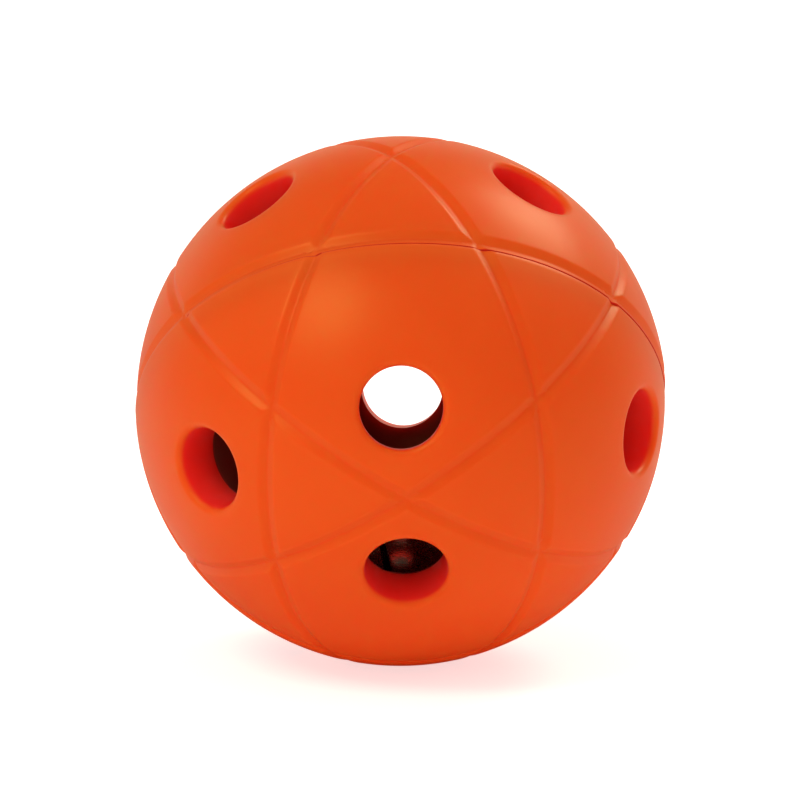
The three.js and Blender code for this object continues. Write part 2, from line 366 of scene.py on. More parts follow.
class Recipe:
    """A Geometry Nodes tree with named inputs, run once on an object and then taken off again."""

    def __init__(self, name: str) -> None:
        """Starts an empty tree with a geometry input and output.

        Args:
            name: The tree's name.
        """
        self.tree = bpy.data.node_groups.new(name, "GeometryNodeTree")
        self.sockets: dict[str, str] = {}
        self.tree.interface.new_socket("Geometry", in_out="INPUT", socket_type="NodeSocketGeometry")
        self.tree.interface.new_socket("Geometry", in_out="OUTPUT", socket_type="NodeSocketGeometry")
        self.given = self.tree.nodes.new("NodeGroupInput")

    def size(self, name: str, kind: str = "NodeSocketFloat") -> bpy.types.NodeSocket:
        """Adds a named input.

        Args:
            name: The input's name.
            kind: The type of its socket.

        Returns:
            The socket that gives the input's value inside the tree.
        """
        socket = self.tree.interface.new_socket(name, in_out="INPUT", socket_type=kind)
        self.sockets[name] = socket.identifier
        return self.given.outputs[name]

    def node(self, kind: str, inputs: dict | None = None, **settings: object) -> bpy.types.Node:
        """Adds a node to the recipe's tree and returns it."""
        return add(self.tree, kind, inputs, **settings)

    def close(self, geometry: bpy.types.NodeSocket) -> None:
        """Ends the tree: instances made real, one material on the result.

        Args:
            geometry: The socket that gives the finished geometry.
        """
        material = self.size("Material", "NodeSocketMaterial")
        real = self.node("GeometryNodeRealizeInstances", {"Geometry": geometry})
        dressed = self.node("GeometryNodeSetMaterial", {"Geometry": real.outputs[0], "Material": material})
        self.node("NodeGroupOutput", {"Geometry": dressed.outputs[0]})

    def push_out(self, distance: bpy.types.NodeSocket) -> None:
        """Ends the tree with every point moved away from the origin.

        Args:
            distance: How far each point moves.
        """
        place = self.node("GeometryNodeInputPosition").outputs[0]
        outward = self.node("ShaderNodeVectorMath", {0: place}, operation="NORMALIZE")
        offset = self.node("ShaderNodeVectorMath", {
            0: outward.outputs[0], "Scale": distance}, operation="SCALE")
        moved = self.node("GeometryNodeSetPosition", {
            "Geometry": self.given.outputs["Geometry"], "Offset": offset.outputs[0]})
        self.close(moved.outputs[0])

    def run(self, mesh: bpy.types.Mesh, values: dict[str, object]) -> bpy.types.Mesh:
        """Runs the tree on a mesh.

        Args:
            mesh: What the tree starts from.
            values: A value for each named input.

        Returns:
            The result as a plain mesh.
        """
        carrier = placed("carrier", mesh)
        modifier = carrier.modifiers.new("recipe", "NODES")
        modifier.node_group = self.tree
        for name, value in values.items():
            modifier[self.sockets[name]] = value
        result = baked(carrier)
        bpy.data.objects.remove(carrier)
        return result


def placed(name: str, data: bpy.types.ID) -> bpy.types.Object:
    """Adds an object to the scene.

    Args:
        name: The object's name.
        data: Its mesh, light or lens.

    Returns:
        The object.
    """
    thing = bpy.data.objects.new(name, data)
    bpy.context.scene.collection.objects.link(thing)
    return thing


def baked(piece: bpy.types.Object) -> bpy.types.Mesh:
    """Takes an object's evaluated mesh and clears its modifiers.

    Args:
        piece: An object with modifiers.

    Returns:
        Its finished mesh.
    """
    depsgraph = bpy.context.evaluated_depsgraph_get()
    result = bpy.data.meshes.new_from_object(piece.evaluated_get(depsgraph), depsgraph=depsgraph)
    piece.modifiers.clear()
    return result


def rows(mesh: bpy.types.Mesh) -> tuple[np.ndarray, list[tuple[int, ...]]]:
    """Reads a mesh as plain points and faces.

    Args:
        mesh: The mesh to read.

    Returns:
        Its points, one to a row, and its faces as point numbers.
    """
    points = np.zeros(len(mesh.vertices) * 3)
    mesh.vertices.foreach_get("co", points)
    return points.reshape(-1, 3), [tuple(face.vertices) for face in mesh.polygons]


def welded(name: str, parts: list[tuple[np.ndarray, list]], distance: float = 0.01) -> bpy.types.Mesh:
    """Joins parts that share edge points into one closed mesh whose faces point out.

    Args:
        name: The mesh's name.
        parts: Points in millimetres and faces, for each part.
        distance: How close two points are to be one, in millimetres.

    Returns:
        The mesh, in metres.
    """
    points = np.vstack([p for p, _ in parts]) * MM
    faces, start = [], 0
    for part_points, part_faces in parts:
        faces += [tuple(int(i) + start for i in face) for face in part_faces]
        start += len(part_points)
    mesh = bpy.data.meshes.new(name)
    mesh.from_pydata(points.tolist(), [], faces)
    form = bmesh.new()
    form.from_mesh(mesh)
    bmesh.ops.remove_doubles(form, verts=form.verts, dist=distance * MM)
    bmesh.ops.recalc_face_normals(form, faces=form.faces)
    form.to_mesh(mesh)
    form.free()
    return mesh


def show(name: str, mesh: bpy.types.Mesh, body: str) -> bpy.types.Object:
    """Puts a finished mesh in the scene, in place of the construction's node of the same name.

    Args:
        name: The node's name; the piece is called the same with "fine_" before it.
        mesh: The piece in its place, in metres.
        body: The body that it rides on.

    Returns:
        The piece.
    """
    mesh.name = f"fine_{name}"
    piece = placed(f"fine_{name}", mesh)
    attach(piece, body)
    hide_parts(name)
    count = sum(len(face.vertices) - 2 for face in mesh.polygons)
    LOG.info("%s: %d triangles, on %s", piece.name, count, body)
    return piece


def direction(polar: float, around: float) -> Vector:
    """Gives the unit vector at an angle from +Z and an angle round it from +X, both in degrees."""
    p, a = math.radians(polar), math.radians(around)
    return Vector((math.sin(p) * math.cos(a), math.sin(p) * math.sin(a), math.cos(p)))


def ring(radius: float, height: float, count: int) -> np.ndarray:
    """Gives evenly spaced points of a circle round +Z, one to a row."""
    angle = np.arange(count) * 2 * math.pi / count
    return np.column_stack([radius * np.cos(angle), radius * np.sin(angle), np.full(count, height)])


def arc(
    centre: tuple[float, float], radius: float, start: float, end: float, steps: int,
) -> list[tuple[float, float]]:
    """Gives the points of an arc in a plane, both ends included, with its angles in degrees."""
    angles = [math.radians(start + (end - start) * i / steps) for i in range(steps + 1)]
    return [(centre[0] + radius * math.cos(a), centre[1] + radius * math.sin(a)) for a in angles]


def revolved(profile: list[tuple[float, float]], count: int) -> tuple[np.ndarray, list]:
    """Turns an open profile round +Z.

    Args:
        profile: Points as radius and height.
        count: How many points each ring has.

    Returns:
        Points and faces of the strip.
    """
    points = np.vstack([ring(r, h, count) for r, h in profile])
    faces = []
    for level in range(len(profile) - 1):
        low, high = level * count, (level + 1) * count
        for i in range(count):
            j = (i + 1) % count
            faces.append((low + i, low + j, high + j, high + i))
    return points, faces


def spiral(radius: float, step: float) -> np.ndarray:
    """Spreads points evenly over a sphere along a golden-angle spiral.

    Args:
        radius: The sphere's radius.
        step: How far apart neighbours lie.

    Returns:
        The points, one to a row.
    """
    count = round(4 * math.pi * radius ** 2 / (step ** 2 * ROW_SPACING))
    index = np.arange(count) + 0.5
    z = 1 - 2 * index / count
    around = index * math.pi * (3 - math.sqrt(5))
    flat = np.sqrt(1 - z * z)
    return np.column_stack([flat * np.cos(around), flat * np.sin(around), z]) * radius


def search_tree(points: np.ndarray) -> KDTree:
    """Gives a tree that finds the nearest of many points.

    Args:
        points: The points, one to a row.

    Returns:
        The tree.
    """
    tree = KDTree(len(points))
    for i, point in enumerate(points):
        tree.insert(point, i)
    tree.balance()
    return tree


def clear_of(points: np.ndarray, others: np.ndarray, distance: float) -> np.ndarray:
    """Keeps the points that lie farther than a distance from all the others.

    Args:
        points: Candidates, one to a row.
        others: What to stay clear of.
        distance: The least distance.

    Returns:
        The candidates that are kept.
    """
    tree = search_tree(others)
    return points[[tree.find(point)[2] > distance for point in points]]


def thinned(points: np.ndarray, distance: float) -> np.ndarray:
    """Drops each point that lies too close to one before it.

    Args:
        points: Points, one to a row.
        distance: The least distance between two of them.

    Returns:
        The points that are kept.
    """
    if len(points) == 0:
        return points
    tree = search_tree(points)
    dropped = np.zeros(len(points), dtype=bool)
    for i, point in enumerate(points):
        if not dropped[i]:
            for _, j, _ in tree.find_range(point, distance):
                if j > i:
                    dropped[j] = True
    return points[~dropped]


def encloses(outline: np.ndarray, point: np.ndarray) -> bool:
    """Tells whether a flat outline goes round a point.

    Args:
        outline: The outline's points, one to a row.
        point: The point.

    Returns:
        True where it does.
    """
    x, y = outline[:, 0], outline[:, 1]
    next_x, next_y = np.roll(x, -1), np.roll(y, -1)
    spans = (y > point[1]) != (next_y > point[1])
    with np.errstate(divide="ignore", invalid="ignore"):
        crossing = x + (point[1] - y) / (next_y - y) * (next_x - x)
    return bool(np.count_nonzero(spans & (point[0] < crossing)) % 2)


@dataclass
class DomeSheet:
    """A sheet of triangles on part of a sphere, with openings cut along exact rings of points."""

    radius: float
    pole: int  # the sheet lies round +Z for 1 and round -Z for -1
    openings: list[np.ndarray]
    edge: np.ndarray
    inner: list[np.ndarray]

    def faces(self) -> tuple[np.ndarray, list]:
        """Lays the sheet over all its points.

        Returns:
            Points and faces, the faces facing away from the sphere's centre.
        """
        rings = [*self.openings, self.edge]
        points = np.vstack([*rings, *self.inner])
        unit = points / np.linalg.norm(points, axis=1)[:, None]
        flat = np.column_stack([unit[:, 0], unit[:, 1] * self.pole]) / (1 + unit[:, 2] * self.pole)[:, None]
        owner = np.full(len(points), -1)
        edges, start = [], 0
        for number, outline in enumerate(rings):
            size = len(outline)
            edges += [(start + i, start + (i + 1) % size) for i in range(size)]
            if number < len(self.openings):
                owner[start:start + size] = number
            start += size
        laid = delaunay_2d_cdt([Vector(p) for p in flat], edges, [], 0, 1e-10, True)
        outlines = [flat[owner == number] for number in range(len(self.openings))]
        kept = []
        for face in laid[2]:
            a, b, c = (laid[3][i][0] for i in face)
            if owner[a] >= 0 and owner[a] == owner[b] == owner[c]:
                if encloses(outlines[owner[a]], flat[[a, b, c]].mean(axis=0)):
                    continue
            turn = np.cross(flat[b] - flat[a], flat[c] - flat[a])
            kept.append((a, b, c) if turn > 0 else (a, c, b))
        return points, kept


@dataclass
class Ball:
    """The ball: two moulded halves with six grooves, twelve holes and a seam.

    Sizes are millimetres. Angles are degrees in the moulding's own frame, whose pole is the upper half's.
    """

    radius: float
    wall: float
    hole_radius: float = 12.5
    rim_radius: float = 1.9
    rim_steps: int = 6
    bore_steps: int = 10
    lip_height: float = 0.1
    groove_half_width: float = 2.5
    groove_depth: float = 1.2
    groove_valley: float = 0.15
    groove_lip: float = 0.03
    groove_rise: float = 1.4
    seam_below_groove: float = 2.1
    upper_twist: float = -0.9
    upper_offset: tuple[float, float] = (0.41, -0.29)  # of the upper half's skin from the lower one's
    seam_gap: float = 0.06
    seam_edge: float = 0.3
    seam_edge_angles: tuple[float, ...] = (0, 30, 60, 90)
    seam_rim: float = 1.2
    burr: float = 0.45
    burr_length: float = 2.6
    burr_seed: float = 4.0
    burr_room: float = 0.2  # how far a hole's inner lip may stand into the bells' room
    sharp_angle: float = 40.0
    turn: tuple[float, float, float] = (-48.6, -2.0, 35.6)
    holes: dict[Half, tuple[tuple[float, float], ...]] = field(default_factory=lambda: {
        Half.UPPER: (
            (63.5, -162.7), (63.2, -90.7), (49.7, 52.0), (12.8, 51.7), (56.1, -10.5), (69.6, 130.0),
        ),
        Half.LOWER: (
            (128.1, -126.8), (167.2, -128.3), (123.9, 169.5), (110.4, -50.0), (116.5, 17.3), (116.8, 89.3),
        ),
    })
    leaning_grooves: int = 5
    groove_start: float = -89.9
    hole_points: int = 120
    seam_points: int = 480
    row_step: float = 1.5
    row_room: float = 0.25  # rooms are the least gap between points, as a share of their step
    row_places: tuple[float, ...] = (0, 0.2, 0.45, 0.8, 1.3, 1.8, 2.15, 2.4, 2.6, 2.85, 3.3, 4.0)
    skin_step: float = 2.2
    skin_room: float = 0.6
    rim_room: float = 0.3  # millimetres
    lining_step: float = 3.4
    lining_room: float = 0.5

    @property
    def seam(self) -> float:
        """The seam's height along the pole, in millimetres."""
        return self.groove_rise - self.seam_below_groove

    def twist(self, half: Half) -> float:
        """Gives how far a half's leaning grooves are turned about the pole, in degrees."""
        return self.upper_twist if half is Half.UPPER else 0.0

    def groove_normals(self, twist: float = 0.0) -> list[Vector]:
        """Gives the normals of the six groove planes: the pole, and five that lean.

        Together they point to the corners of an icosahedron.

        Args:
            twist: How far the leaning ones are turned about the pole, in degrees.

        Returns:
            The normals, the pole's first.
        """
        lean = math.degrees(math.atan(2))
        start = self.groove_start + twist
        around = [start + i * 360 / self.leaning_grooves for i in range(self.leaning_grooves)]
        return [direction(0, 0), *(direction(lean, a) for a in around)]

    def seated(self) -> Matrix:
        """Gives the turn from the moulding's own frame to the way the ball lies."""
        x, y, z = (math.radians(a) for a in self.turn)
        return Matrix.Rotation(x, 4, "X") @ Matrix.Rotation(y, 4, "Y") @ Matrix.Rotation(z, 4, "Z")

    def hole_profile(self) -> list[tuple[float, float]]:
        """Gives a hole's section from its outer rim to its inner edge.

        Returns:
            Points as radius and height along the hole's axis.
        """
        fillet_r = self.hole_radius + self.rim_radius
        fillet_h = math.sqrt((self.radius - self.rim_radius) ** 2 - fillet_r ** 2)
        rim_angle = math.degrees(math.atan2(fillet_h, fillet_r))
        rounding = arc((fillet_r, fillet_h), self.rim_radius, rim_angle, 180, self.rim_steps)
        cavity = self.radius - self.wall
        edge_r = self.hole_radius + self.burr
        edge_h = math.sqrt(cavity ** 2 - edge_r ** 2)
        steps = self.bore_steps
        bore = [(self.hole_radius, fillet_h + (edge_h - fillet_h) * i / steps) for i in range(1, steps)]
        lip = [
            (self.hole_radius, edge_h - self.lip_height),
            (self.hole_radius + self.burr / 4, edge_h - self.burr / 2),
        ]
        return [*rounding, *bore, *lip, (edge_r, edge_h)]

    def hole_turns(self, half: Half) -> list[Matrix]:
        """Gives the turn from +Z to each hole of a half."""
        return [direction(*place).to_track_quat("Z", "Y").to_matrix() for place in self.holes[half]]

    def openings(self, half: Half, place: tuple[float, float]) -> tuple[list[np.ndarray], np.ndarray]:
        """Gives rings round a half's holes, at a radius and a height along each, and the holes' axes."""
        turns = [np.array(t) for t in self.hole_turns(half)]
        return [ring(*place, self.hole_points) @ t.T for t in turns], np.array([t[:, 2] for t in turns])

    def groove_rows(self, half: Half, seam: float) -> list[np.ndarray]:
        """Gives rows of points along the grooves, close together across them, so that their section is sharp.

        Args:
            half: The half of the ball.
            seam: The seam's height in the moulding's frame, in millimetres.

        Returns:
            One array of points for each distance from the grooves' middle, nearest first.
        """
        count = round(2 * math.pi * self.radius / self.row_step)
        normals = self.groove_normals(self.twist(half))
        turns = [np.array(n.to_track_quat("Z", "Y").to_matrix()) for n in normals]
        rises = [self.groove_rise] + [0.0] * self.leaning_grooves
        found = []
        for place in self.row_places:
            heights = [(turn, rise + side) for turn, rise in zip(turns, rises) for side in {place, -place}]
            circles = [ring(math.sqrt(self.radius ** 2 - h ** 2), h, count) @ turn.T for turn, h in heights]
            points = np.vstack(circles)
            found.append(points[(points[:, 2] - seam) * half.value > self.seam_edge * 2])
        return found

    def skin(self, half: Half, seam: float) -> tuple[np.ndarray, list]:
        """Makes the outer face of a half, before its grooves are pressed in.

        Args:
            half: The half of the ball.
            seam: The height at which its outer face ends.

        Returns:
            Points and faces.
        """
        rim_r, rim_h = self.hole_profile()[0]
        rims, axes = self.openings(half, (rim_r, rim_h))
        edge = ring(math.sqrt(self.radius ** 2 - seam ** 2), seam, self.seam_points)
        fixed = np.vstack([*rims, edge])
        beyond_rims = math.cos(math.atan2(rim_r + self.rim_room, rim_h))
        fill = spiral(self.radius, self.skin_step)
        fill = fill[(fill[:, 2] - seam) * half.value > self.seam_edge * 2]
        plan = [(points, self.row_step * self.row_room) for points in self.groove_rows(half, seam)]
        plan.append((fill, self.skin_step * self.skin_room))
        inner = []
        for points, distance in plan:
            outside = ((points @ axes.T) < beyond_rims * self.radius).all(axis=1)
            kept = thinned(clear_of(points[outside], fixed, distance), distance)
            inner.append(kept)
            fixed = np.vstack([fixed, kept])
        return DomeSheet(self.radius, half.value, rims, edge, inner).faces()

    def lining(self, half: Half, seam: float) -> tuple[np.ndarray, list]:
        """Makes the inner face of a half.

        Args:
            half: The half of the ball.
            seam: The height of the seam's flat face.

        Returns:
            Points and faces, the faces facing the wall.
        """
        cavity = self.radius - self.wall
        edge_r, edge_h = self.hole_profile()[-1]
        mouths, axes = self.openings(half, (edge_r, edge_h))
        edge = ring(math.sqrt(cavity ** 2 - seam ** 2), seam, self.seam_points)
        fill = spiral(cavity, self.lining_step)
        fill = fill[(fill[:, 2] - seam) * half.value > self.lining_step / 2]
        outside = ((fill @ axes.T) < math.cos(math.atan2(edge_r, edge_h)) * cavity).all(axis=1)
        fill = clear_of(fill[outside], np.vstack([*mouths, edge]), self.lining_step * self.lining_room)
        return DomeSheet(cavity, half.value, mouths, edge, [fill]).faces()

    def seam_face(self, half: Half, face: float) -> tuple[np.ndarray, list]:
        """Makes the flat face at the seam, with its outer edge a little rounded.

        Args:
            half: The half of the ball.
            face: The height of the flat face.

        Returns:
            Points and faces.
        """
        cavity = self.radius - self.wall
        top = face + half.value * self.seam_edge
        start = math.sqrt(self.radius ** 2 - top ** 2)
        rounding = [
            (start - self.seam_edge * (1 - math.cos(a)), top - half.value * self.seam_edge * math.sin(a))
            for a in map(math.radians, self.seam_edge_angles)
        ]
        flat = [(rounding[-1][0] - self.seam_rim, face), (math.sqrt(cavity ** 2 - face ** 2), face)]
        return revolved([*rounding, *flat], self.seam_points)

    def bores(self, half: Half, recipe: Recipe, material: bpy.types.Material) -> tuple[np.ndarray, list]:
        """Sets one bore, with its rounded rim, in each hole of a half.

        Args:
            half: The half of the ball.
            recipe: The recipe that repeats a pattern piece over points.
            material: The finish.

        Returns:
            Points and faces of all the half's bores.
        """
        points, faces = revolved(self.hole_profile(), self.hole_points)
        pattern_mesh = bpy.data.meshes.new("bore_pattern")
        pattern_mesh.from_pydata((points * MM).tolist(), [], faces)
        pattern = placed("bore_pattern", pattern_mesh)
        seats = bpy.data.meshes.new("bore_seats")
        turns = self.hole_turns(half)
        seats.from_pydata([(0, 0, 0)] * len(turns), [], [])
        turn = seats.attributes.new("turn", "FLOAT_VECTOR", "POINT")
        for row, matrix in zip(turn.data, turns):
            row.vector = matrix.to_euler("XYZ")
        found, found_faces = rows(recipe.run(seats, {"Pattern": pattern, "Material": material}))
        bpy.data.objects.remove(pattern)
        return found / MM, found_faces

    def shell(self, half: Half, recipes: dict[str, Recipe], material: bpy.types.Material) -> bpy.types.Mesh:
        """Makes one half of the ball, in the way it lies.

        Args:
            half: The half of the ball.
            recipes: The recipes by name.
            material: The finish.

        Returns:
            The finished mesh, in metres.
        """
        face = self.seam + half.value * self.seam_gap / 2
        skin_end = face + half.value * self.seam_edge
        blank = welded("shell_blank", [
            self.skin(half, skin_end), self.lining(half, face), self.seam_face(half, face),
            self.bores(half, recipes["repeat"], material),
        ])
        self.mark_mouths(blank, half)
        pressed = recipes["press"].run(blank, {
            "Depth": self.groove_depth * MM, "Half Width": self.groove_half_width * MM,
            "Rise": self.groove_rise * MM, "Twist": math.radians(self.twist(half)),
            "Valley": self.groove_valley * MM, "Lip": self.groove_lip, "Ball Radius": self.radius * MM,
            "Fade": self.rim_radius * 2 * MM, "Burr": self.burr * MM,
            "Burr Length": per_metre(self.burr_length), "Seed": self.burr_seed,
            "Clear Radius": (self.radius - self.wall - self.burr_room) * MM,
            "Material": material,
        })
        if half is Half.UPPER:
            self.move_skin_aside(pressed)
        pressed.transform(self.seated())
        pressed.shade_smooth()
        pressed.set_sharp_from_angle(angle=math.radians(self.sharp_angle))
        return pressed

    def move_skin_aside(self, mesh: bpy.types.Mesh) -> None:
        """Moves the skin of the upper half aside; its lining stays and the wall between them leans.

        Args:
            mesh: The half's mesh, in metres, before it is turned.
        """
        points, _ = rows(mesh)
        from_middle = np.linalg.norm(points, axis=1) / MM
        share = np.clip((from_middle - self.radius + self.wall) / self.wall, 0.0, 1.0)
        points = points + share[:, None] * np.array((*self.upper_offset, 0.0)) * MM
        mesh.vertices.foreach_set("co", points.astype(np.float32).ravel())
        mesh.update()

    def mark_mouths(self, mesh: bpy.types.Mesh, half: Half) -> None:
        """Marks the inner edge of each hole, where the moulding was trimmed and is ragged.

        Args:
            mesh: The half's mesh, in metres.
            half: The half of the ball.
        """
        points, _ = rows(mesh)
        points = points / MM
        edge_r, edge_h = self.hole_profile()[-1]
        within = self.lip_height / 2
        ragged = np.zeros(len(points), dtype=np.float32)
        for turn in self.hole_turns(half):
            height = points @ np.array(turn)[:, 2]
            across = np.sqrt(np.maximum((points ** 2).sum(axis=1) - height ** 2, 0))
            ragged[(height > 0) & (height < edge_h - within) & (across < edge_r - within)] = 1.0
        mark = mesh.attributes.new("ragged", "FLOAT", "POINT")
        mark.data.foreach_set("value", ragged)

    def build(self, recipes: dict[str, Recipe], finishes: dict[Slot, bpy.types.Material]) -> None:
        """Builds both halves and puts them in the scene.

        Args:
            recipes: The recipes by name.
            finishes: The material of each slot.
        """
        for half in Half:
            mesh = self.shell(half, recipes, finishes[Slot.VINYL])
            show(f"{half.name.lower()}_shell", mesh, "ball")


@dataclass
class JingleBell:
    """A jingle bell: a crown with a rolled lip, a skirt with crossing slots, a wire loop and a loose pellet.

    Sizes are millimetres. The crown points along the bell's own +Z.
    """

    berth: Berth
    centre: Vector
    radius: float = 17.0
    sheet: float = 0.8
    belt_half_height: float = 1.2
    belt_radius: float = 18.1
    shoulder: float = 1.9
    shoulder_room: float = 0.2
    slot_middle: float = 3.2
    slot_end: float = 2.0
    slot_angle: float = 74.0
    slot_corner: float = 0.4
    slot_steps: int = 40
    tip_steps: int = 12
    corner_steps: int = 4
    loop_width: float = 8.0
    loop_height: float = 4.4
    wire: float = 1.6
    wire_bend: float = 1.6
    wire_sides: int = 20
    wire_hole_points: int = 28
    bend_steps: int = 12
    foot: float = 2.4
    foot_room: float = 0.3
    pellet_radius: float = 4.0
    pellet_halvings: int = 5  # how often an icosahedron's faces are divided
    dent_depth: float = 0.08
    dent_size: float = 3.0
    pellet_seed: float = 7.0
    clearance: float = 0.3
    wire_clearance: float = 0.25
    lean: float = 52.0
    twist: float = 19.0
    rim_points: int = 120
    sheet_step: float = 0.8
    sheet_room: float = 0.45  # the least gap between points, as a share of their step
    skirt_room: float = 0.3
    edge_width: float = 0.12
    edge_angle: float = 50.0
    sharp_angle: float = 35.0

    @property
    def name(self) -> str:
        """The bell's name, which its pieces' names start with."""
        return f"{self.berth.name.lower()}_bell"

    def seated(self) -> Matrix:
        """Gives the move from the bell's own frame to where it lies.

        Returns:
            The move, in metres.
        """
        side = self.berth.value
        lean = Matrix.Rotation(math.radians(side * self.lean), 4, "X")
        twist = Matrix.Rotation(math.radians(side * self.twist), 4, "Z")
        return Matrix.Translation(self.centre) @ lean @ twist

    def dome_fill(self, edge: np.ndarray, openings: list[np.ndarray], pole: int, limit: float) -> np.ndarray:
        """Spreads points over a dome, clear of its edge and of its openings' outlines.

        Args:
            edge: The ring that ends the dome.
            openings: The outlines cut into it.
            pole: 1 for the crown and -1 for the skirt.
            limit: The least height of a point towards the pole.

        Returns:
            The points.
        """
        fill = spiral(self.radius, self.sheet_step)
        fill = fill[fill[:, 2] * pole > limit]
        return clear_of(fill, np.vstack([*openings, edge]), self.sheet_step * self.sheet_room)

    def sheet_mesh(self, parts: list[tuple[np.ndarray, list]], name: str) -> bpy.types.Mesh:
        """Gives a pressed face its thickness and softened edges.

        Args:
            parts: The outer face, in millimetres.
            name: The mesh's name.

        Returns:
            The closed mesh, in metres.
        """
        carrier = placed(name, welded(name, parts))
        wall = carrier.modifiers.new("wall", "SOLIDIFY")
        wall.thickness = self.sheet * MM
        wall.offset = -1.0
        wall.use_even_offset = True
        edges = carrier.modifiers.new("edges", "BEVEL")
        edges.width = self.edge_width * MM
        edges.segments = 2
        edges.limit_method = "ANGLE"
        edges.angle_limit = math.radians(self.edge_angle)
        result = baked(carrier)
        bpy.data.objects.remove(carrier)
        return result

    def crown(self) -> bpy.types.Mesh:
        """Makes the upper half: a dome with two holes for the wire, flared into the rolled lip.

        Returns:
            The mesh, in the bell's own frame.
        """
        rim = math.sqrt(self.radius ** 2 - self.shoulder ** 2)
        edge = ring(rim, self.shoulder, self.rim_points)
        leg = self.loop_width / 2 - self.wire / 2
        hole = self.wire / 2 + self.wire_clearance
        openings = []
        for side in (-1, 1):
            flat = ring(hole, 0, self.wire_hole_points) + np.array([side * leg, 0, 0])
            flat[:, 2] = np.sqrt(self.radius ** 2 - flat[:, 0] ** 2 - flat[:, 1] ** 2)
            openings.append(flat)
        fill = self.dome_fill(edge, openings, 1, self.shoulder + self.shoulder_room)
        inside = np.min([np.hypot(fill[:, 0] - s * leg, fill[:, 1]) for s in (-1, 1)], axis=0) < hole
        dome = DomeSheet(self.radius, 1, openings, edge, [fill[~inside]])
        neck, belt = self.radius, self.belt_radius
        top, low = self.belt_half_height, -self.belt_half_height
        flare = [
            (rim, self.shoulder), (neck + 0.06, top + 0.36), (neck + 0.28, top + 0.12),
            (neck + 0.62, top - 0.06), (belt - 0.16, top - 0.3), (belt - 0.03, top - 0.62),
            (belt, 0.1), (belt, low + 0.5), (belt - 0.04, low + 0.2), (belt - 0.1, low),
        ]
        return self.sheet_mesh([dome.faces(), revolved(flare, self.rim_points)], f"{self.name}_crown")

    def slot_outline(self) -> np.ndarray:
        """Gives the outline of the skirt's crossing slots, with round ends and softened inner corners.

        Returns:
            The outline's points on the dome, one to a row.
        """
        end = self.radius * math.sin(math.radians(self.slot_angle))
        half_end, half_middle = self.slot_end / 2, self.slot_middle / 2
        corner, steps = self.slot_corner, self.slot_steps
        lane = half_middle + corner
        side = [
            (lane + (end - half_end - lane) * i / steps, half_middle + (half_end - half_middle) * i / steps)
            for i in range(steps + 1)
        ]
        tip = [
            (end - half_end + half_end * math.sin(a), half_end * math.cos(a))
            for a in (math.pi * i / self.tip_steps for i in range(1, self.tip_steps))
        ]
        arm = [*((x, -y) for x, y in side), *reversed(tip), *reversed(side)]
        inner = [
            (half_middle + corner - corner * math.sin(a), half_middle + corner - corner * math.cos(a))
            for a in (math.pi / 2 * i / self.corner_steps for i in range(1, self.corner_steps))
        ]
        outline = []
        for quarter in range(4):
            turn = Matrix.Rotation(quarter * math.pi / 2, 2)
            outline += [tuple(turn @ Vector(p)) for p in [*arm, *inner]]
        flat = np.array(outline)
        height = -np.sqrt(np.maximum(self.radius ** 2 - (flat ** 2).sum(axis=1), 0.01))
        return np.column_stack([flat, height])

    def skirt(self) -> bpy.types.Mesh:
        """Makes the lower half: a plain dome with the cross of slots.

        Returns:
            The mesh, in the bell's own frame.
        """
        edge = ring(self.radius, 0, self.rim_points)
        slots = self.slot_outline()
        fill = self.dome_fill(edge, [slots], -1, self.skirt_room)
        fill = fill[[not encloses(slots[:, :2], p[:2]) for p in fill]]
        dome = DomeSheet(self.radius, -1, [slots], edge, [fill])
        return self.sheet_mesh([dome.faces()], f"{self.name}_skirt")

    def loop(self, recipe: Recipe, material: bpy.types.Material) -> bpy.types.Mesh:
        """Makes the wire loop, whose two feet are bent out under the crown.

        Args:
            recipe: The recipe that bends a wire along a line.
            material: The wire's finish.

        Returns:
            The mesh, in the bell's own frame.
        """
        leg = self.loop_width / 2 - self.wire / 2
        top = self.radius + self.loop_height - self.wire / 2
        reach = leg + self.foot
        inside = self.radius - self.sheet
        under_crown = math.sqrt(inside ** 2 - reach ** 2)
        foot_height = under_crown - self.wire / 2 - self.clearance - self.foot_room
        line = [
            (-reach, foot_height), (-leg, foot_height), *arc((0, top - leg), leg, 180, 0, self.bend_steps),
            (leg, foot_height), (reach, foot_height),
        ]
        chords = [(i, i + 1) for i in range(len(line) - 1)]
        centre_line = bpy.data.meshes.new("centre_line")
        centre_line.from_pydata([(x * MM, 0, z * MM) for x, z in line], chords, [])
        return recipe.run(centre_line, {
            "Wire Radius": self.wire / 2 * MM, "Bend Radius": self.wire_bend * MM,
            "Sides": self.wire_sides, "Material": material})

    def pellet(self, recipe: Recipe, material: bpy.types.Material) -> bpy.types.Mesh:
        """Makes the pellet, a steel ball that tumbling has left a little uneven.

        Args:
            recipe: The recipe that tumbles a shape.
            material: The pellet's finish.

        Returns:
            The mesh, in its place in metres.
        """
        form = bmesh.new()
        bmesh.ops.create_icosphere(form, subdivisions=self.pellet_halvings, radius=self.pellet_radius * MM)
        mesh = bpy.data.meshes.new("pellet")
        form.to_mesh(mesh)
        form.free()
        result = recipe.run(mesh, {
            "Uneven": self.dent_depth * MM, "Dent Size": per_metre(self.dent_size),
            "Seed": self.pellet_seed + self.berth.value, "Material": material})
        drop = (self.radius - self.sheet - self.pellet_radius - self.clearance) * MM
        result.transform(Matrix.Translation(self.centre - Vector((0, 0, drop))))
        return result

